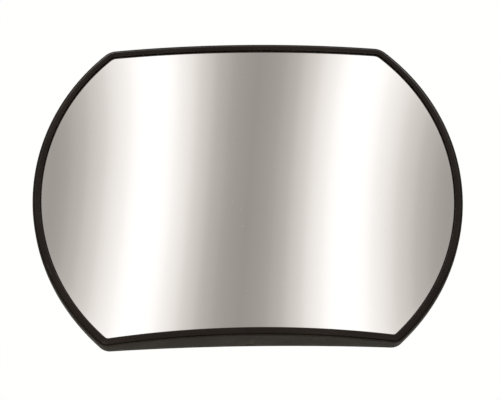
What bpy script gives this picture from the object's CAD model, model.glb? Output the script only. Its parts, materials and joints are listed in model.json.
"""Looks of the oblong convex mirror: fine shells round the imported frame, materials and a studio."""

import json
import math

import bmesh
import bpy
from mathutils import Matrix, Vector


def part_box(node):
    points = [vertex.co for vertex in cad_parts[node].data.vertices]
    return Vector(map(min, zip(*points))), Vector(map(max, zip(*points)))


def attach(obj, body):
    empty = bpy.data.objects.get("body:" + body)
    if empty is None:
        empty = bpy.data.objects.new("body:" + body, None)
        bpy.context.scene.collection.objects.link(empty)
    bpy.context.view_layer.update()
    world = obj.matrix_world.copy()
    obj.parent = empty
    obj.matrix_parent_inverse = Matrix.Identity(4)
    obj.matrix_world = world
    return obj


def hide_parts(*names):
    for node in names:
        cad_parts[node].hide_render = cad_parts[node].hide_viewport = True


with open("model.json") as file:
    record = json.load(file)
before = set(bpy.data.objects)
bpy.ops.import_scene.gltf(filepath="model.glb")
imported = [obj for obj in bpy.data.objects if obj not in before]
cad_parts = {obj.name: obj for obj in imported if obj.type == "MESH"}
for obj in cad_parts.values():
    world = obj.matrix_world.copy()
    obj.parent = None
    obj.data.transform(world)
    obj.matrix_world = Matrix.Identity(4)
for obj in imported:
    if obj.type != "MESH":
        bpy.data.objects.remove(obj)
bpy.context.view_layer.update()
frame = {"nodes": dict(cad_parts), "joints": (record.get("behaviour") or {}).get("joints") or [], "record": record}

# Lengths are in millimetres. Depths are measured from the wall, so a depth d lies at y = -d.
MM = 0.001
GAP = 0.3
OVERCUT = 1.0
WELD = 0.003


def low_high(node_name):
    """A node's box in design axes: lowest and highest (x, depth, z) in millimetres."""
    low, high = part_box(node_name)
    return Vector((low.x, -high.y, low.z)) / MM, Vector((high.x, -low.y, high.z)) / MM


# Head outline and lens, as in the frame
HOUSING_LOW, HOUSING_HIGH = low_high("housing_shell")
HEAD_RADIUS = HOUSING_HIGH.x
FLAT_HEIGHT = HOUSING_HIGH.z
REAR_DEPTH = HOUSING_LOW.y
CROWN_DEPTH = low_high("mirror_lens")[1].y
FLAT_BOW = 1.1
CORNER_RADIUS = 5.0
MIN_CORNER_RADIUS = 1.6
LENS_SPHERE = 200.0
LENS_THICK = 1.8
LENS_INSET = 2.0
LENS_SEAM = 0.25
WALL_THICK = 1.6
WALL_DRAFT = 0.1
LIP_INSET = 0.65
LIP_RISE = 0.35
LIP_EDGE = 0.22
LIP_FOOT = -0.6
LIP_START = -0.5
PART_LINE = 0.3
SEAT_CLEARANCE = 0.05
BEAD_START = 0.8
BEAD_WIDTH = 2.65
# Corners of the bead's section from its foot to its inner edge, as (inset, rise)
BEAD_CORNERS = (
    (LIP_INSET + SEAT_CLEARANCE, -PART_LINE),
    (LIP_INSET + SEAT_CLEARANCE, 0.1),
    (BEAD_START, 0.35),
    (BEAD_START + 0.02, 0.75),
    (1.6, 1.4),
    (2.35, 1.1),
    (BEAD_WIDTH, 0.6),
    (BEAD_WIDTH, GAP),
)
# Rounding of the wall's rear edge, as (inset, distance from the rear)
REAR_ROUNDING = ((0.9, 0), (0.5, 0.1), (0.2, 0.35), (0.05, 0.7), (0, 1.1))
LEDGE_DROP = 3.0
LEDGE_WIDTH = 4.4
LEDGE_SLOPE = 0.2
FLOOR_DROP = 3.3
FLOOR_THICK = 1.5
SIDE_FLANGE = 8.0
NOTCH_WIDTH = 3.0
NOTCH_DEPTH = 1.2
ARC_STEPS = 96
CORNER_STEPS = 10
FLAT_STEPS = 64
LENS_STEPS = 24
LENS_BACK_SHRINKS = (0.75, 0.5, 0.25)
FLOOR_SHRINKS = (0.9, 0.8, 0.7, 0.6, 0.5, 0.4, 0.3, 0.2, 0.1)

# Back cover and its screws
COVER_THICK = 1.8
COVER_INSET = 0.4
COVER_EDGE = 0.6
# A shallow groove runs round the cover's rear, as (inset, depth of cut)
COVER_GROOVE = ((6.2, 0), (5.9, 0.3), (5.1, 0.3), (4.8, 0))
COVER_REAR_INSETS = (44, 36, 28, 20, 14, 9)
COVER_FRONT_INSETS = (9, 20, 36)
COVER_SCREWS = 6
COVER_SCREW_CIRCLE = 44.0
COVER_SINK_RADIUS = 2.9
COVER_SINK_DEPTH = 1.4
COVER_SCREW_HEAD = 2.5
COVER_SCREW_RADIUS = 1.2
COVER_SCREW_LENGTH = 6.4
COVER_SCREW_SUNK = 0.1
COVER_THREAD = 0.25
COVER_RECESS = (1.5, 0.8)
PILOT_RADIUS = 1.5

# Ball joint
HEAD_TILT = next(joint for joint in frame["joints"] if joint["name"] == "head_tilt")
BALL_DEPTH = -HEAD_TILT["pos_m"][1] / MM
BALL_RADIUS = 8.0
LINER_THICK = 1.5
LINER_OPENING = math.radians(54)
LINER_SLITS = 4
LINER_SLIT = 1.0
SLIT_FRONT = 2.0
SOCKET_OPENING = math.radians(57)
COLLET_RADIUS = 12.5
COLLET_LIP = 0.7
COLLET_TAPER = (2.3, 4.7)
COLLET_FRONT = 5.0
COLLET_SLOTS = 6
COLLET_SLOT_WIDTH = 1.4
FLANGE_RADIUS = 23.0
FLANGE_REAR = 12.2
FLANGE_FRONT = 15.2
RING_RADIUS = 16.4
RING_REAR = -8.0
RING_FRONT = 5.9
RING_CLEARANCE = 0.35
# Edge of the ring as (distance drawn in, distance along, share of the flutes' depth)
RING_EDGE = ((1.6, 0.0, 0.0), (1.2, 0.05, 0.1), (0.5, 0.4, 0.6), (0.15, 0.85, 0.9), (0.0, 1.4, 1.0))
RING_FLUTES = 12
FLUTE_DEPTH = 0.7
SOCKET_SCREWS = 4
SOCKET_SCREW_CIRCLE = 17.5
M3_RADIUS = 1.5
M3_HOLE = 1.8
M3_HEAD_RADIUS = 2.8
M3_HEAD_HEIGHT = 2.0
M3_RECESS = (1.6, 1.1)
CROSS_ARM = 0.26
CROSS_CORNER = 0.3

# Wall side
WALL_PLATE_RADIUS = 27.0
PAD_THICK = 1.2
PLATE_REAR = 1.5
PLATE_FRONT = 5.5
HUB_RADIUS = 10.0
HUB_FRONT = 8.5
POCKET_RADIUS = 7.4
POCKET_FRONT = 6.0
WALL_HOLES = 3
WALL_HOLE_CIRCLE = 19.0
WALL_HOLE_RADIUS = 2.2
WALL_SINK_RADIUS = 4.0
WALL_SINK_DEPTH = 1.8
PAD_HOLE_CLEARANCE = 0.4
STUD_RADIUS = 2.7
STUD_CHAMFER = 0.4
STUD_THREAD = 0.3
STUD_THREAD_PITCH = 0.7
STUD_HOLE = 3.0
NECK_RADIUS = 3.2
NECK_FILLET = 0.8
COLLAR_APOTHEM = 5.5
COLLAR_THICK = 2.5
COLLAR_CHAMFER = 0.3

TURN_STEPS = 96
HOLE_STEPS = 40

GROUPS = frame["record"]["behaviour"]["bodies"]
BODY_OF = {member: body for body, members in GROUPS.items() for member in members}


# Shapes


def place(point):
    """A design point (x, depth, z) in millimetres as a scene point in metres."""
    x, depth, z = point
    return Vector((x, -depth, z)) * MM


def outline(inset, side_inset=None):
    """Head outline drawn in by `inset`: (x, z) points, anticlockwise from +X."""
    radius = HEAD_RADIUS - (inset if side_inset is None else side_inset)
    flat = FLAT_HEIGHT - inset
    corner = max(CORNER_RADIUS - inset, MIN_CORNER_RADIUS)
    corner_z = flat - corner
    corner_x = math.sqrt((radius - corner) ** 2 - corner_z**2)
    start = math.atan2(corner_z, corner_x)
    quarter = []
    for i in range(ARC_STEPS // 2 + 1):
        angle = start * i / (ARC_STEPS // 2)
        quarter.append((radius * math.cos(angle), radius * math.sin(angle)))
    for i in range(1, CORNER_STEPS + 1):
        angle = start + (math.pi / 2 - start) * i / CORNER_STEPS
        quarter.append((corner_x + corner * math.cos(angle), corner_z + corner * math.sin(angle)))
    for i in range(1, FLAT_STEPS // 2 + 1):
        share = 1 - i / (FLAT_STEPS // 2)
        quarter.append((corner_x * share, flat - FLAT_BOW * (1 - share**2)))
    upper = quarter + [(-x, z) for x, z in reversed(quarter[:-1])]
    return upper + [(-x, -z) for x, z in upper[1:-1]]


def lens_depth(x, z):
    """Depth of the lens's front surface."""
    return CROWN_DEPTH - LENS_SPHERE + math.sqrt(LENS_SPHERE**2 - x**2 - z**2)


def lens_ring(inset, rise, shrink=1.0, side_inset=None):
    """Outline ring that follows the lens's surface at `rise` in front of it."""
    points = [(x * shrink, z * shrink) for x, z in outline(inset, side_inset)]
    return [(x, lens_depth(x, z) + rise, z) for x, z in points]


def level_ring(inset, depth, side_inset=None):
    return [(x, depth, z) for x, z in outline(inset, side_inset)]


def lens_centre(rise):
    return [(0, lens_depth(0, 0) + rise, 0)]


def circle(radius, depth, steps=TURN_STEPS):
    if radius == 0:
        return [(0, depth, 0)]
    turns = [math.tau * i / steps for i in range(steps)]
    return [(radius * math.cos(a), depth, radius * math.sin(a)) for a in turns]


def hexagon(apothem, depth, largest, steps=TURN_STEPS):
    """Hexagonal ring whose corners are turned down to `largest`."""
    ring = []
    for i in range(steps):
        angle = math.tau * i / steps
        radius = min(apothem / math.cos(angle % (math.pi / 3) - math.pi / 6), largest)
        ring.append((radius * math.cos(angle), depth, radius * math.sin(angle)))
    return ring


def sphere_arc(radius, first, last, steps):
    """Profile points (radius, depth) on a sphere about the ball, by angle from the wall side."""
    arc = []
    for i in range(steps + 1):
        angle = first + (last - first) * i / steps
        across = 0 if i == steps and last == math.pi else radius * math.sin(angle)
        arc.append((across, BALL_DEPTH - radius * math.cos(angle)))
    return arc


def rounded(corners, radius, steps=4):
    """Points of an open profile with its inner corners rounded by arcs of about `radius`."""
    points = [corners[0]]
    for before, corner, after in zip(corners, corners[1:], corners[2:]):
        before, corner, after = Vector(before), Vector(corner), Vector(after)
        reach = min(radius, (before - corner).length * 0.45, (after - corner).length * 0.45)
        first = corner + (before - corner).normalized() * reach
        last = corner + (after - corner).normalized() * reach
        for i in range(steps + 1):
            t = i / steps
            points.append(tuple(first * (1 - t) ** 2 + corner * 2 * t * (1 - t) + last * t**2))
    points.append(corners[-1])
    return points


def loft(rings, loop=False, centre=(0, 0)):
    """Skin the rings in turn; ends close flat, or at a one-point ring."""
    bm = bmesh.new()
    add_loft(bm, rings, loop, centre)
    return bm


def add_loft(bm, rings, loop=False, centre=(0, 0)):
    cx, cz = centre
    rows = [[bm.verts.new((x + cx, depth, z + cz)) for x, depth, z in ring] for ring in rings]
    pairs = list(zip(rows, rows[1:]))
    if loop:
        pairs.append((rows[-1], rows[0]))
    for row_a, row_b in pairs:
        count = max(len(row_a), len(row_b))
        for i in range(count):
            j = (i + 1) % count
            if len(row_a) == 1:
                bm.faces.new((row_a[0], row_b[j], row_b[i]))
            elif len(row_b) == 1:
                bm.faces.new((row_a[i], row_a[j], row_b[0]))
            else:
                bm.faces.new((row_a[i], row_a[j], row_b[j], row_b[i]))
    if not loop:
        for row in (rows[0], rows[-1]):
            if len(row) > 1:
                bm.faces.new(row)


def turned(profile, steps=TURN_STEPS, loop=False, centre=(0, 0)):
    return loft([circle(radius, depth, steps) for radius, depth in profile], loop, centre)


def add_turned(bm, profile, centre, steps=HOLE_STEPS):
    add_loft(bm, [circle(radius, depth, steps) for radius, depth in profile], centre=centre)


def add_slab(bm, lows, highs, angle=0.0):
    """Box between two corners (x, depth, z), turned by `angle` about the mount's axis."""
    ring = [(lows[0], lows[2]), (highs[0], lows[2]), (highs[0], highs[2]), (lows[0], highs[2])]
    cos, sin = math.cos(angle), math.sin(angle)
    turned_ring = [(x * cos - z * sin, x * sin + z * cos) for x, z in ring]
    add_loft(bm, [[(x, depth, z) for x, z in turned_ring] for depth in (lows[1], highs[1])])


def around(count, radius, first=0.0):
    """Centres (x, z) spread evenly round a circle."""
    angles = [first + math.tau * i / count for i in range(count)]
    return [(radius * math.cos(a), radius * math.sin(a)) for a in angles]


def cover_screw_centres():
    return around(COVER_SCREWS, COVER_SCREW_CIRCLE)


def socket_screw_centres():
    return around(SOCKET_SCREWS, SOCKET_SCREW_CIRCLE, math.pi / 4)


def wall_hole_centres():
    return around(WALL_HOLES, WALL_HOLE_CIRCLE, math.pi / 2)


def thread(radius, cut, first, pitch, to_root, turns):
    """Profile (radius, depth) of plain thread rings, crest and root in turn."""
    profile = []
    for i in range(turns):
        crest = first + i * pitch
        profile += [(radius, crest), (radius - cut, crest + to_root)]
    return profile


def cross_recess(centre, rear, reach, depth):
    """Cutter for a screw head's cross recess, tapering to its foot."""
    quarter = [(1, -CROSS_ARM), (1, CROSS_ARM), (CROSS_CORNER, CROSS_CORNER)]
    cross = []
    for _ in range(4):
        cross += quarter
        quarter = [(-z, x) for x, z in quarter]
    levels = ((rear - OVERCUT, reach * 1.3), (rear, reach), (rear + depth, reach * 0.45))
    rings = [[(x * size, level, z * size) for x, z in cross] for level, size in levels]
    return loft(rings, centre=centre)


def make_object(name, bm):
    bmesh.ops.recalc_face_normals(bm, faces=bm.faces)
    for vert in bm.verts:
        vert.co = place(vert.co)
    # Depth runs against Y, which mirrors the mesh
    bmesh.ops.reverse_faces(bm, faces=bm.faces)
    mesh = bpy.data.meshes.new(name)
    bm.to_mesh(mesh)
    bm.free()
    obj = bpy.data.objects.new(name, mesh)
    bpy.context.collection.objects.link(obj)
    return obj


def weld(mesh):
    """Join points that a cut leaves closer together than WELD, and drop the slivers between them."""
    bm = bmesh.new()
    bm.from_mesh(mesh)
    bmesh.ops.remove_doubles(bm, verts=bm.verts, dist=WELD * MM)
    bmesh.ops.dissolve_degenerate(bm, edges=bm.edges, dist=WELD * MM)
    bm.to_mesh(mesh)
    bm.free()


def carve(obj, cutters):
    """Cut the solids in `cutters` out of the object's mesh for good."""
    tool = make_object(obj.name + "_tool", cutters)
    modifier = obj.modifiers.new("cut", "BOOLEAN")
    modifier.operation = "DIFFERENCE"
    modifier.solver = "EXACT"
    modifier.object = tool
    bpy.context.view_layer.update()
    depsgraph = bpy.context.evaluated_depsgraph_get()
    carved = bpy.data.meshes.new_from_object(obj.evaluated_get(depsgraph))
    weld(carved)
    obj.modifiers.clear()
    obj.data = carved
    bpy.data.objects.remove(tool, do_unlink=True)


def add_piece(name, bm, node_name, material, cutters=None, crease=32):
    """A fine mesh that stands for a CAD node and rides on its body."""
    obj = make_object(name, bm)
    if cutters is not None:
        carve(obj, cutters)
    obj.data.materials.clear()
    obj.data.materials.append(material)
    obj.data.shade_smooth()
    obj.data.set_sharp_from_angle(angle=math.radians(crease))
    # Wide flat faces keep their own normal right up to a bevel or a hole
    weighted = obj.modifiers.new("weighted", "WEIGHTED_NORMAL")
    weighted.mode = "FACE_AREA"
    weighted.keep_sharp = True
    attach(obj, BODY_OF[node_name])
    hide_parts(node_name)


# Materials


# Colour sockets of a Mix node: its inputs A and B and its result
MIX_A, MIX_B, MIX_RESULT = 6, 7, 2


def new_material(name, color, roughness, metallic=0.0, specular=0.5):
    material = bpy.data.materials.new(name)
    material.use_nodes = True
    shader = material.node_tree.nodes["Principled BSDF"]
    shader.inputs["Base Color"].default_value = (*color, 1.0)
    shader.inputs["Roughness"].default_value = roughness
    shader.inputs["Metallic"].default_value = metallic
    shader.inputs["Specular IOR Level"].default_value = specular
    return material


def noise(material, scale, detail, stretch=(1, 1, 1)):
    """Noise over the object's own space, `scale` in cycles per metre."""
    tree = material.node_tree
    where = tree.nodes.new("ShaderNodeTexCoord")
    mapping = tree.nodes.new("ShaderNodeMapping")
    mapping.inputs["Scale"].default_value = stretch
    texture = tree.nodes.new("ShaderNodeTexNoise")
    texture.inputs["Scale"].default_value = scale
    texture.inputs["Detail"].default_value = detail
    tree.links.new(where.outputs["Object"], mapping.inputs["Vector"])
    tree.links.new(mapping.outputs["Vector"], texture.inputs["Vector"])
    return texture.outputs["Fac"]


def cells(material, scale):
    """Distance to the nearest of many scattered points, for grain and foam."""
    tree = material.node_tree
    where = tree.nodes.new("ShaderNodeTexCoord")
    texture = tree.nodes.new("ShaderNodeTexVoronoi")
    texture.inputs["Scale"].default_value = scale
    tree.links.new(where.outputs["Object"], texture.inputs["Vector"])
    return texture.outputs["Distance"]


def remap(material, value, from_low, from_high, to_low, to_high):
    tree = material.node_tree
    mapped = tree.nodes.new("ShaderNodeMapRange")
    mapped.inputs["From Min"].default_value = from_low
    mapped.inputs["From Max"].default_value = from_high
    mapped.inputs["To Min"].default_value = to_low
    mapped.inputs["To Max"].default_value = to_high
    tree.links.new(value, mapped.inputs["Value"])
    return mapped.outputs["Result"]


def math_node(tree, operation, *inputs):
    """A Math node whose inputs are numbers or other nodes' outputs."""
    node = tree.nodes.new("ShaderNodeMath")
    node.operation = operation
    for socket, value in zip(node.inputs, inputs):
        if isinstance(value, (int, float)):
            socket.default_value = value
        else:
            tree.links.new(value, socket)
    return node.outputs["Value"]


def color_ramp(tree, value, stops, interpolation="LINEAR"):
    """Colour by the value: `stops` are (position, linear colour)."""
    node = tree.nodes.new("ShaderNodeValToRGB")
    ramp = node.color_ramp
    while len(ramp.elements) < len(stops):
        ramp.elements.new(0.5)
    for element, (position, color) in zip(ramp.elements, stops):
        element.position = position
        element.color = (*color, 1.0)
    ramp.interpolation = interpolation
    tree.links.new(value, node.inputs["Fac"])
    return node.outputs["Color"]


def vary_color(material, value, stops):
    tree = material.node_tree
    color = color_ramp(tree, value, stops)
    tree.links.new(color, tree.nodes["Principled BSDF"].inputs["Base Color"])


def wear_edges(material, lighter, scale):
    """Lighter, rubbed patches along the edges that stick out."""
    tree = material.node_tree
    base = tree.nodes["Principled BSDF"].inputs["Base Color"]
    tint = base.links[0].from_socket
    shape = tree.nodes.new("ShaderNodeNewGeometry")
    exposed = remap(material, shape.outputs["Pointiness"], 0.505, 0.56, 0, 1)
    patches = remap(material, noise(material, scale, 6), 0.46, 0.62, 0.1, 1)
    amount = math_node(tree, "MULTIPLY", exposed, patches)
    blend = tree.nodes.new("ShaderNodeMix")
    blend.data_type = "RGBA"
    blend.inputs[MIX_B].default_value = (*lighter, 1.0)
    tree.links.new(amount, blend.inputs["Factor"])
    tree.links.new(tint, blend.inputs[MIX_A])
    tree.links.new(blend.outputs[MIX_RESULT], base)


def vary_roughness(material, value, low, high, spread=(0.3, 0.7)):
    shader = material.node_tree.nodes["Principled BSDF"]
    rough = remap(material, value, *spread, low, high)
    material.node_tree.links.new(rough, shader.inputs["Roughness"])


def add_bump(material, layers):
    """Stack bumps; each layer is (height value, height in millimetres)."""
    tree = material.node_tree
    normal = None
    for value, height in layers:
        bump = tree.nodes.new("ShaderNodeBump")
        bump.inputs["Strength"].default_value = 1.0
        bump.inputs["Distance"].default_value = height * MM
        tree.links.new(value, bump.inputs["Height"])
        if normal is not None:
            tree.links.new(normal, bump.inputs["Normal"])
        normal = bump.outputs["Normal"]
    tree.links.new(normal, tree.nodes["Principled BSDF"].inputs["Normal"])


def make_glass():
    """Front of the lens: bright silvering with a breath of haze and dust."""
    material = new_material("lens_mirror", (0.93, 0.915, 0.90), 0.02, 1.0)
    haze = noise(material, 28, 3)
    vary_color(material, haze, [(0.3, (0.925, 0.910, 0.893)), (0.7, (0.94, 0.926, 0.912))])
    tree = material.node_tree
    smudges = remap(material, noise(material, 60, 5), 0.3, 0.7, 0.008, 0.035)
    dust = remap(material, cells(material, 420), 0.03, 0.07, 0.3, 0.0)
    rougher = math_node(tree, "MAXIMUM", smudges, dust)
    tree.links.new(rougher, tree.nodes["Principled BSDF"].inputs["Roughness"])
    return material


def make_plastic(name, dark, light, sheen, grain, scale, specular=0.5):
    """Moulded plastic: cloudy tint, uneven sheen, fine grain and faint flow waves."""
    material = new_material(name, dark, sheen[0], specular=specular)
    vary_color(material, noise(material, 45, 6), [(0.35, dark), (0.68, light)])
    vary_roughness(material, noise(material, 130, 4), *sheen)
    wear_edges(material, tuple(min(channel * 1.7, 0.85) for channel in light), 260)
    layers = [(noise(material, 90, 2), grain), (cells(material, scale), grain)]
    layers.append((noise(material, scale * 0.6, 5), grain))
    add_bump(material, layers)
    return material


def make_metal(name, dull, bright, sheen, stretch):
    """Plated metal with drawn streaks and small cloudy patches."""
    material = new_material(name, dull, sheen[0], 1.0)
    vary_color(material, noise(material, 220, 5), [(0.35, dull), (0.65, bright)])
    streaks = noise(material, 900, 4, stretch)
    vary_roughness(material, streaks, *sheen)
    add_bump(material, [(streaks, 0.006), (noise(material, 300, 3), 0.01)])
    return material


def make_foam(name, dark, light, scale):
    material = new_material(name, dark, 0.95)
    pores = cells(material, scale)
    vary_color(material, pores, [(0.1, dark), (0.6, light)])
    vary_roughness(material, noise(material, 200, 3), 0.85, 1.0)
    add_bump(material, [(pores, 0.25), (noise(material, 1200, 4), 0.05)])
    return material


GLASS = make_glass()
BLACK_RIM = make_plastic(
    "rim_black",
    dark=(0.0162, 0.0114, 0.0088),
    light=(0.0256, 0.0186, 0.0146),
    sheen=(0.30, 0.46),
    grain=0.03,
    scale=2200,
    specular=0.12,
)
BLACK = make_plastic(
    "housing_black",
    dark=(0.0245, 0.0210, 0.0156),
    light=(0.0335, 0.0287, 0.0215),
    sheen=(0.44, 0.64),
    grain=0.08,
    scale=1500,
    specular=0.10,
)
FILLED = make_plastic(
    "filled_nylon",
    dark=(0.018, 0.018, 0.019),
    light=(0.030, 0.030, 0.032),
    sheen=(0.38, 0.62),
    grain=0.07,
    scale=2400,
)
NYLON = make_plastic(
    "natural_nylon",
    dark=(0.70, 0.68, 0.60),
    light=(0.80, 0.78, 0.71),
    sheen=(0.38, 0.52),
    grain=0.012,
    scale=2400,
)
SEAL = make_plastic(
    "butyl",
    dark=(0.010, 0.010, 0.010),
    light=(0.016, 0.016, 0.016),
    sheen=(0.7, 0.9),
    grain=0.05,
    scale=900,
)
ZINC = make_metal("zinc_plate", (0.50, 0.50, 0.49), (0.66, 0.66, 0.64), (0.24, 0.42), (1, 6, 1))
CHROME = make_metal("ball_chrome", (0.66, 0.66, 0.67), (0.74, 0.74, 0.75), (0.07, 0.16), (1, 8, 1))
PAD_FOAM = make_foam("pad_foam", (0.05, 0.05, 0.052), (0.11, 0.11, 0.115), 1400)


# Head


def add_lens():
    edge = LENS_INSET + LENS_SEAM
    shrinks = [i / LENS_STEPS for i in range(1, LENS_STEPS)]
    rings = [lens_centre(0)]
    rings += [lens_ring(edge, 0, shrink) for shrink in shrinks]
    rings += [lens_ring(edge, 0), lens_ring(LENS_INSET, -LENS_SEAM)]
    rings += [lens_ring(LENS_INSET, -LENS_THICK + LENS_SEAM), lens_ring(edge, -LENS_THICK)]
    rings += [lens_ring(edge, -LENS_THICK, shrink) for shrink in LENS_BACK_SHRINKS]
    rings.append(lens_centre(-LENS_THICK))
    add_piece("mirror_lens_fine", loft(rings), "mirror_lens", GLASS, crease=20)


def add_rim():
    """Rounded bead inside the housing's lip."""
    inner_wall = WALL_THICK + SEAT_CLEARANCE
    rings = [lens_ring(inset, rise) for inset, rise in rounded(BEAD_CORNERS, 0.6, 6)]
    rings += [lens_ring(inner_wall, GAP), lens_ring(inner_wall, -PART_LINE)]
    add_piece("rim_bead", loft(rings, loop=True), "rim_bezel", BLACK_RIM)


def add_housing():
    ledge_end = WALL_THICK + LEDGE_WIDTH
    under = -FLOOR_DROP - FLOOR_THICK
    rings = [level_ring(WALL_THICK, REAR_DEPTH, SIDE_FLANGE)]
    rings += [level_ring(inset, REAR_DEPTH + ahead) for inset, ahead in REAR_ROUNDING]
    lip = [(WALL_DRAFT, LIP_START), (WALL_DRAFT, LIP_RISE)]
    lip += [(LIP_INSET, LIP_RISE), (LIP_INSET, LIP_FOOT)]
    rings += [lens_ring(inset, rise) for inset, rise in rounded(lip, LIP_EDGE)]
    rings += [lens_ring(WALL_THICK, LIP_FOOT), lens_ring(WALL_THICK, -LEDGE_DROP)]
    rings += [lens_ring(ledge_end, -LEDGE_DROP), lens_ring(ledge_end + LEDGE_SLOPE, -FLOOR_DROP)]
    rings += [lens_ring(ledge_end, -FLOOR_DROP, shrink) for shrink in FLOOR_SHRINKS]
    rings.append(lens_centre(-FLOOR_DROP))
    inside = [lens_centre(under)]
    inside += [lens_ring(WALL_THICK, under, shrink, SIDE_FLANGE) for shrink in reversed(FLOOR_SHRINKS)]
    inside.append(lens_ring(WALL_THICK, under, 1.0, SIDE_FLANGE))
    cutters = bmesh.new()
    half = NOTCH_WIDTH / 2
    notch_low = (-half, REAR_DEPTH - OVERCUT, -FLAT_HEIGHT - OVERCUT)
    notch_high = (half, REAR_DEPTH + NOTCH_DEPTH, -FLAT_HEIGHT + WALL_THICK + OVERCUT)
    add_slab(cutters, notch_low, notch_high)
    bm = loft(inside + rings)
    add_piece("housing_fine", bm, "housing_shell", BLACK, cutters)


def add_back_cover():
    front = REAR_DEPTH - GAP
    rear = front - COVER_THICK
    edge = [(inset, rear + cut) for inset, cut in COVER_GROOVE]
    edge += [(COVER_INSET, rear), (COVER_INSET, front)]
    rings = [level_ring(inset, rear) for inset in COVER_REAR_INSETS]
    rings += [level_ring(inset, depth) for inset, depth in rounded(edge, COVER_EDGE, 6)]
    rings += [level_ring(inset, front) for inset in COVER_FRONT_INSETS]
    cutters = bmesh.new()
    for centre in cover_screw_centres():
        sink = [(COVER_SINK_RADIUS + 1.3, rear - OVERCUT), (COVER_SINK_RADIUS + 0.3, rear)]
        sink += [(COVER_SINK_RADIUS, rear + 0.3), (PILOT_RADIUS, rear + COVER_SINK_DEPTH)]
        add_turned(cutters, sink + [(PILOT_RADIUS, front + OVERCUT)], centre)
    for centre in socket_screw_centres():
        add_turned(cutters, [(M3_HOLE, rear - OVERCUT), (M3_HOLE, front + OVERCUT)], centre)
    add_piece("back_cover_fine", loft(rings), "back_cover", BLACK, cutters)


def add_cover_screws():
    rear = REAR_DEPTH - GAP - COVER_THICK + COVER_SCREW_SUNK
    profile = [(0, rear + 0.02), (COVER_SCREW_HEAD - 0.4, rear)]
    profile += [(COVER_SCREW_HEAD - 0.06, rear + 0.04), (COVER_SCREW_HEAD, rear + 0.15)]
    profile.append((COVER_SCREW_RADIUS, rear + 1.3))
    profile += thread(COVER_SCREW_RADIUS, COVER_THREAD, rear + 1.7, 0.45, 0.22, 9)
    profile += [(COVER_SCREW_RADIUS * 0.7, rear + 5.8), (0, rear + COVER_SCREW_LENGTH)]
    for i, centre in enumerate(cover_screw_centres()):
        name = f"cover_screw_{i + 1}"
        recess = cross_recess(centre, rear, *COVER_RECESS)
        bm = turned(profile, HOLE_STEPS, centre=centre)
        add_piece(name + "_fine", bm, name, ZINC, recess)


def add_socket_screws():
    front = BALL_DEPTH + FLANGE_REAR - GAP
    rear = front - M3_HEAD_HEIGHT
    shank_end = low_high("socket_screw_1")[1].y
    dome = [(0, rear), (1.2, rear + 0.04), (1.9, rear + 0.2), (2.4, rear + 0.5)]
    dome += [(2.7, rear + 1.0), (M3_HEAD_RADIUS, rear + 1.5), (M3_HEAD_RADIUS, front - 0.1)]
    profile = dome + [(M3_HEAD_RADIUS - 0.1, front), (M3_RADIUS, front), (M3_RADIUS, shank_end - 0.3)]
    profile += [(M3_RADIUS - 0.3, shank_end), (0, shank_end)]
    for i, centre in enumerate(socket_screw_centres()):
        name = f"socket_screw_{i + 1}"
        recess = cross_recess(centre, rear, *M3_RECESS)
        bm = turned(profile, HOLE_STEPS, centre=centre)
        add_piece(name + "_fine", bm, name, ZINC, recess)


# Ball joint


def add_ball_socket():
    inner = BALL_RADIUS + LINER_THICK + 2 * GAP
    flange_rear = BALL_DEPTH + FLANGE_REAR
    flange_front = BALL_DEPTH + FLANGE_FRONT
    lip = BALL_DEPTH - inner * math.cos(SOCKET_OPENING) - COLLET_LIP
    taper, taper_length = COLLET_TAPER
    corners = [(16, flange_front), (FLANGE_RADIUS, flange_front), (FLANGE_RADIUS, flange_rear)]
    corners += [(14.6, flange_rear), (COLLET_RADIUS, flange_rear - 2.2)]
    corners += [(COLLET_RADIUS, lip + taper_length), (COLLET_RADIUS - taper, lip)]
    corners.append((inner * math.sin(SOCKET_OPENING) + 0.5, lip))
    profile = [(0, flange_front)] + rounded(corners, 0.7)
    profile += sphere_arc(inner, SOCKET_OPENING, math.pi, 24)
    cutters = bmesh.new()
    for centre in socket_screw_centres():
        bore = [(M3_HOLE, flange_rear - OVERCUT), (M3_HOLE, flange_front + OVERCUT)]
        add_turned(cutters, bore, centre)
    half = COLLET_SLOT_WIDTH / 2
    low = (BALL_RADIUS - 2, lip - OVERCUT, -half)
    high = (COLLET_RADIUS + OVERCUT, BALL_DEPTH + COLLET_FRONT, half)
    for i in range(COLLET_SLOTS):
        add_slab(cutters, low, high, math.tau * (i + 0.25) / COLLET_SLOTS)
    add_piece("ball_socket_fine", turned(profile), "ball_socket", FILLED, cutters)


def add_socket_liner():
    inner = BALL_RADIUS + GAP
    outer = inner + LINER_THICK
    profile = list(reversed(sphere_arc(outer, LINER_OPENING, math.pi, 20)))
    profile += sphere_arc(inner, LINER_OPENING, math.pi, 20)
    cutters = bmesh.new()
    half = LINER_SLIT / 2
    low = (BALL_RADIUS / 2, BALL_DEPTH - outer, -half)
    high = (outer + OVERCUT, BALL_DEPTH + SLIT_FRONT, half)
    for i in range(LINER_SLITS):
        add_slab(cutters, low, high, math.tau * (i + 0.5) / LINER_SLITS)
    add_piece("liner_fine", turned(profile), "socket_liner", NYLON, cutters)


def fluted_ring(radius, depth, cut, steps):
    """Ring with shallow hollows round its rim, `cut` deep."""
    ring = []
    for i in range(steps):
        angle = math.tau * i / steps
        r = radius - cut * max(0.0, math.cos(RING_FLUTES * angle))
        ring.append((r * math.cos(angle), depth, r * math.sin(angle)))
    return ring


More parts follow.
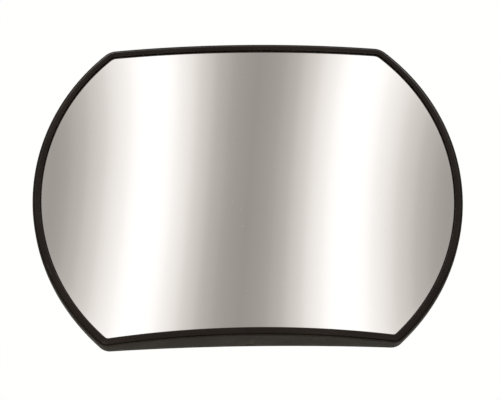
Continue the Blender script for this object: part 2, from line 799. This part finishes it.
def add_clamp_ring():
    bore = COLLET_RADIUS + RING_CLEARANCE
    rear, front = BALL_DEPTH + RING_REAR, BALL_DEPTH + RING_FRONT
    steps = RING_FLUTES * 16
    inside = [(bore + 0.4, front), (bore, front - 0.4), (bore, rear + 6.4)]
    inside += [(bore - 2.4, rear + 1.4), (bore - 1.65, rear)]
    rings = [circle(radius, depth, steps) for radius, depth in rounded(inside, 0.5)]
    for drawn_in, along, share in RING_EDGE:
        rings.append(fluted_ring(RING_RADIUS - drawn_in, rear + along, FLUTE_DEPTH * share, steps))
    for drawn_in, along, share in reversed(RING_EDGE):
        rings.append(fluted_ring(RING_RADIUS - drawn_in, front - along, FLUTE_DEPTH * share, steps))
    add_piece("clamp_ring_fine", loft(rings, loop=True), "clamp_ring", FILLED)


def add_ball_stud():
    tip = PAD_THICK + 2 * GAP
    collar_rear = HUB_FRONT + GAP
    collar_front = collar_rear + COLLAR_THICK
    largest = COLLAR_APOTHEM / math.cos(math.pi / 6) - 0.25
    shaft = [(0, tip), (STUD_RADIUS - STUD_CHAMFER, tip), (STUD_RADIUS, tip + STUD_CHAMFER)]
    shaft += thread(STUD_RADIUS, STUD_THREAD, tip + 0.6, STUD_THREAD_PITCH, STUD_THREAD_PITCH / 2, 9)
    shaft += [(STUD_RADIUS - STUD_THREAD, collar_rear), (COLLAR_APOTHEM - 0.1, collar_rear)]
    neck = [(COLLAR_APOTHEM - 0.1, collar_front), (NECK_RADIUS + NECK_FILLET, collar_front)]
    neck += [(NECK_RADIUS + 0.3, collar_front + 0.2), (NECK_RADIUS, collar_front + NECK_FILLET)]
    ball = sphere_arc(BALL_RADIUS, math.asin(NECK_RADIUS / BALL_RADIUS), math.pi, 30)
    rings = [circle(radius, depth) for radius, depth in shaft]
    for depth in (collar_rear + COLLAR_CHAMFER, collar_front - COLLAR_CHAMFER):
        rings.append(hexagon(COLLAR_APOTHEM, depth, largest))
    rings += [circle(radius, depth) for radius, depth in neck + ball]
    add_piece("ball_stud_fine", loft(rings), "ball_stud", CHROME)


# Wall side


def add_wall_plate():
    corners = [(STUD_HOLE, POCKET_FRONT), (POCKET_RADIUS, POCKET_FRONT), (POCKET_RADIUS, PLATE_REAR)]
    corners += [(WALL_PLATE_RADIUS, PLATE_REAR), (WALL_PLATE_RADIUS, PLATE_FRONT - 0.6)]
    corners += [(WALL_PLATE_RADIUS - 1.6, PLATE_FRONT), (HUB_RADIUS + 0.6, PLATE_FRONT)]
    corners += [(HUB_RADIUS - 0.4, HUB_FRONT), (STUD_HOLE, HUB_FRONT)]
    cutters = bmesh.new()
    for centre in wall_hole_centres():
        sink = [(WALL_HOLE_RADIUS, PLATE_REAR - OVERCUT)]
        sink.append((WALL_HOLE_RADIUS, PLATE_FRONT - WALL_SINK_DEPTH))
        sink.append((WALL_SINK_RADIUS, PLATE_FRONT - 0.15))
        sink.append((WALL_SINK_RADIUS + 0.15, PLATE_FRONT + OVERCUT))
        add_turned(cutters, sink, centre)
    bm = turned(rounded(corners, 0.8), loop=True)
    add_piece("wall_plate_fine", bm, "wall_plate", FILLED, cutters)


def add_wall_pad():
    radius = WALL_PLATE_RADIUS - 0.5
    corners = [(radius - 2, 0), (radius, 0), (radius, PAD_THICK), (radius - 2, PAD_THICK)]
    hole = WALL_HOLE_RADIUS + PAD_HOLE_CLEARANCE
    cutters = bmesh.new()
    for centre in wall_hole_centres():
        add_turned(cutters, [(hole, -OVERCUT), (hole, PAD_THICK + OVERCUT)], centre)
    add_piece("wall_pad_fine", turned(rounded(corners, 0.25)), "wall_pad", PAD_FOAM, cutters)


def dress_frame():
    """Materials for the frame's pieces that have no fine shape of their own."""
    hidden = {"lens_gasket": SEAL, "foam_backing": PAD_FOAM, "load_plate": ZINC}
    hidden.update({"stud_nut": ZINC, "stud_washer": ZINC})
    hidden.update({f"socket_nut_{i + 1}": ZINC for i in range(SOCKET_SCREWS)})
    for node_name, material in hidden.items():
        obj = frame["nodes"][node_name]
        for slot in obj.material_slots:
            slot.material = material


add_lens()
add_rim()
add_housing()
add_back_cover()
add_cover_screws()
add_socket_screws()
add_ball_socket()
add_socket_liner()
add_clamp_ring()
add_ball_stud()
add_wall_plate()
add_wall_pad()
dress_frame()

# Camera and studio

VIEW_AZIMUTH = math.radians(-1.087)
VIEW_ELEVATION = math.radians(-24.362)
VIEW_ROLL = math.radians(-1.138)
VIEW_DISTANCE = 0.493
VIEW_LENS = 108.46
VIEW_SHIFT = (0.0042, -0.0085)

# Brightness round the object by how far sideways a direction points, as (distance, brightness)
SIDEWAYS_STRENGTH = 1.3
SIDEWAYS_LIGHT = (
    (0.0, 0.242),
    (0.09, 0.302),
    (0.15, 0.415),
    (0.21, 0.585),
    (0.27, 0.76),
    (0.33, 0.88),
    (0.37, 0.88),
    (0.43, 0.77),
    (0.50, 0.585),
    (0.56, 0.43),
    (0.61, 0.33),
    (0.66, 0.268),
)
BRIGHTEST = max(value for _, value in SIDEWAYS_LIGHT)
# Dim light is warm and bright light is neutral: most red added and blue taken away
WARM_RED = 0.065
WARM_BLUE = 0.07
BAND_SLANT = math.radians(5.03)
BAND_OFFSET = 0.013
# The bright bands draw together towards the top: spread at level height, and its growth with height
BAND_SPREAD = 0.93
BAND_GROWTH = 0.2
BACKDROP = (1, 1, 0.985, 1)

LIGHT_COLOR = (1.0, 0.985, 0.96)
LIGHT_TARGET = Vector((0, -0.03, 0))
FLOOR_SIZE = 8
FLOOR_HEIGHT = -0.6


def add_camera():
    data = bpy.data.cameras.new("view")
    camera = bpy.data.objects.new("view", data)
    bpy.context.collection.objects.link(camera)
    centre = place((0, REAR_DEPTH, 0))
    flat = math.cos(VIEW_ELEVATION)
    sideways, forwards = math.sin(VIEW_AZIMUTH) * flat, -math.cos(VIEW_AZIMUTH) * flat
    back = Vector((sideways, forwards, math.sin(VIEW_ELEVATION)))
    at = Matrix.Translation(centre + back * VIEW_DISTANCE)
    facing = (-back).to_track_quat("-Z", "Y").to_matrix().to_4x4()
    camera.matrix_world = at @ facing @ Matrix.Rotation(VIEW_ROLL, 4, "Z")
    data.lens = VIEW_LENS
    data.shift_x, data.shift_y = VIEW_SHIFT
    data.clip_start = 0.01
    bpy.context.scene.camera = camera


def band_stops():
    """The sideways light as colour stops."""
    stops = []
    for position, value in SIDEWAYS_LIGHT:
        warmth = 1 - (value / BRIGHTEST) ** 2
        color = (value * (1 + WARM_RED * warmth), value, value * (1 - WARM_BLUE * warmth))
        stops.append((position, color))
    return stops


def add_world():
    """Plain bright backdrop for the camera, and slanting bands of light for all else."""
    world = bpy.data.worlds.new("studio")
    bpy.context.scene.world = world
    world.use_nodes = True
    tree = world.node_tree
    tree.nodes.clear()
    direction = tree.nodes.new("ShaderNodeTexCoord").outputs["Generated"]
    dot = tree.nodes.new("ShaderNodeVectorMath")
    dot.operation = "DOT_PRODUCT"
    dot.inputs[1].default_value = (math.cos(BAND_SLANT), 0, -math.sin(BAND_SLANT))
    tree.links.new(direction, dot.inputs[0])
    split = tree.nodes.new("ShaderNodeSeparateXYZ")
    tree.links.new(direction, split.inputs[0])
    spread = math_node(tree, "MULTIPLY_ADD", split.outputs["Z"], BAND_GROWTH, BAND_SPREAD)
    sideways = math_node(tree, "ADD", dot.outputs["Value"], BAND_OFFSET)
    distance = math_node(tree, "ABSOLUTE", math_node(tree, "MULTIPLY", sideways, spread))
    lit = tree.nodes.new("ShaderNodeBackground")
    lit.inputs["Strength"].default_value = SIDEWAYS_STRENGTH
    tree.links.new(color_ramp(tree, distance, band_stops(), "CARDINAL"), lit.inputs["Color"])
    seen = tree.nodes.new("ShaderNodeBackground")
    seen.inputs["Color"].default_value = BACKDROP
    path = tree.nodes.new("ShaderNodeLightPath")
    mix = tree.nodes.new("ShaderNodeMixShader")
    tree.links.new(path.outputs["Is Camera Ray"], mix.inputs["Fac"])
    tree.links.new(lit.outputs["Background"], mix.inputs[1])
    tree.links.new(seen.outputs["Background"], mix.inputs[2])
    output = tree.nodes.new("ShaderNodeOutputWorld")
    tree.links.new(mix.outputs["Shader"], output.inputs["Surface"])


def add_softbox(name, location, width, height, watts):
    """Area light aimed at the mount, which throws no reflection of itself."""
    data = bpy.data.lights.new(name, "AREA")
    data.shape = "RECTANGLE"
    data.size, data.size_y = width, height
    data.energy = watts
    data.color = LIGHT_COLOR
    light = bpy.data.objects.new(name, data)
    light.location = location
    light.visible_glossy = False
    light.rotation_euler = (LIGHT_TARGET - light.location).to_track_quat("-Z", "Y").to_euler()
    bpy.context.collection.objects.link(light)


def add_floor():
    bpy.ops.mesh.primitive_plane_add(size=FLOOR_SIZE, location=(0, 0, FLOOR_HEIGHT))
    floor = bpy.context.object
    floor.name = "floor"
    floor.visible_glossy = False
    floor.data.materials.append(new_material("floor", (0.85, 0.85, 0.84), 0.9))


add_camera()
add_world()
add_softbox("rear_key", (-0.30, 0.70, 0.72), width=0.5, height=0.5, watts=6)
add_softbox("rear_fill", (0.50, 0.60, 0.50), width=0.5, height=0.5, watts=2.5)
add_softbox("front_strip", (0, -1.10, -0.46), width=0.9, height=0.12, watts=1.3)
add_floor()
bpy.context.scene.view_settings.view_transform = "Standard"
